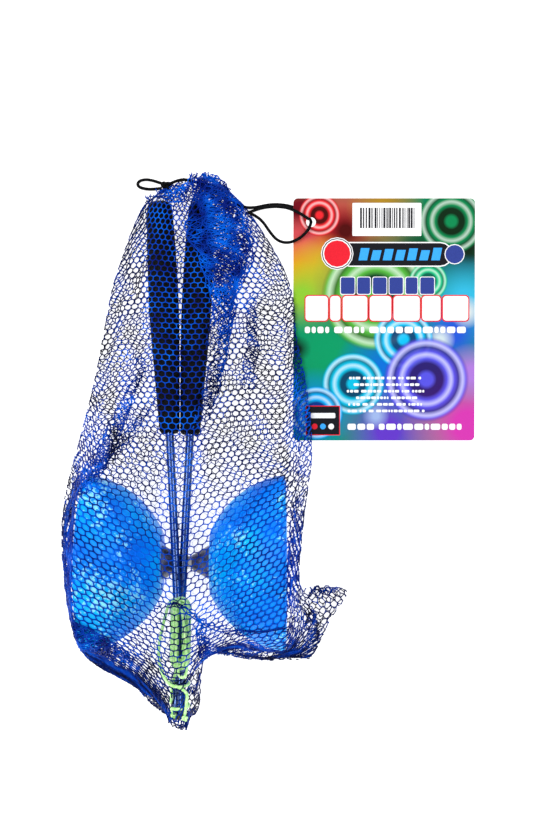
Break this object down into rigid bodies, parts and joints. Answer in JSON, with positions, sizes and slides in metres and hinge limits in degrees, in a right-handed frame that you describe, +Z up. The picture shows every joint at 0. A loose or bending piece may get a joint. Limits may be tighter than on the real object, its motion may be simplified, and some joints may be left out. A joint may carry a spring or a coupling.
{
  "type": "diabolo with hand sticks in a net bag",
  "caption": "Two-cup rubber diabolo lying with its foam-gripped aluminium hand sticks and hanked string in a drawstring net bag with a hang card.",
  "frame": {"origin": "on the floor straight below the middle of the diabolo's axle, on the back net's rest face", "axes": "+Z up from the floor, X along the diabolo's axle, +Y along the hand sticks towards their grips and the bag's mouth"},
  "size_m": [0.27, 0.3359, 0.11],
  "materials": {
    "cup_rubber": "glossy azure rubber",
    "hub_plastic": "smoky grey plastic",
    "zinc_steel": "zinc plated",
    "bright_steel": "turned",
    "stick_aluminium": "polished tube",
    "grip_foam": "black closed-cell foam",
    "cap_plastic": "black",
    "string_fibre": "neon yellow-green braided string",
    "net_nylon": "royal blue knitted hexagonal net",
    "black_cord": "black braided cord",
    "printed_card": "glossy printed card"
  },
  "bodies": {
    "bag": {"net_back": "net_nylon", "net_front": "net_nylon", "bag_seam": "net_nylon", "drawstring": "black_cord", "drawstring_tail": "black_cord", "drawstring_loop": "black_cord", "drawstring_knot": "black_cord"},
    "diabolo": {"cup_left": "cup_rubber", "cup_right": "cup_rubber", "hub_left": "hub_plastic", "hub_right": "hub_plastic", "washer_left": "zinc_steel", "washer_right": "zinc_steel", "nut_left": "zinc_steel", "nut_right": "zinc_steel", "axle_rod": "zinc_steel", "axle_sleeve": "bright_steel"},
    "hand_sticks": {"stick_shaft_left": "stick_aluminium", "stick_shaft_right": "stick_aluminium", "stick_grip_left": "grip_foam", "stick_grip_right": "grip_foam", "grip_cap_left": "cap_plastic", "grip_cap_right": "cap_plastic", "tip_plug_left": "cap_plastic", "tip_plug_right": "cap_plastic", "string_lead_left": "string_fibre", "string_lead_right": "string_fibre", "string_knot_left": "string_fibre", "string_knot_right": "string_fibre", "string_hank": "string_fibre"},
    "label": {"label_card": "printed_card"}
  },
  "joints": [
    {"name": "diabolo_spin", "type": "hinge", "parent": "bag", "child": "diabolo", "pos_m": [0, 0, 0.0538], "axis": [1, 0, 0], "continuous": true},
    {"name": "sticks_swing", "type": "hinge", "parent": "bag", "child": "hand_sticks", "pos_m": [-0.0034, 0, 0.065], "axis": [0, 0, 1], "range_deg": [-1, 1]},
    {"name": "label_swing", "type": "hinge", "parent": "bag", "child": "label", "pos_m": [0.0775, 0.2145, 0.003], "axis": [0, 0, 1], "range_deg": [0, 60]}
  ]
}
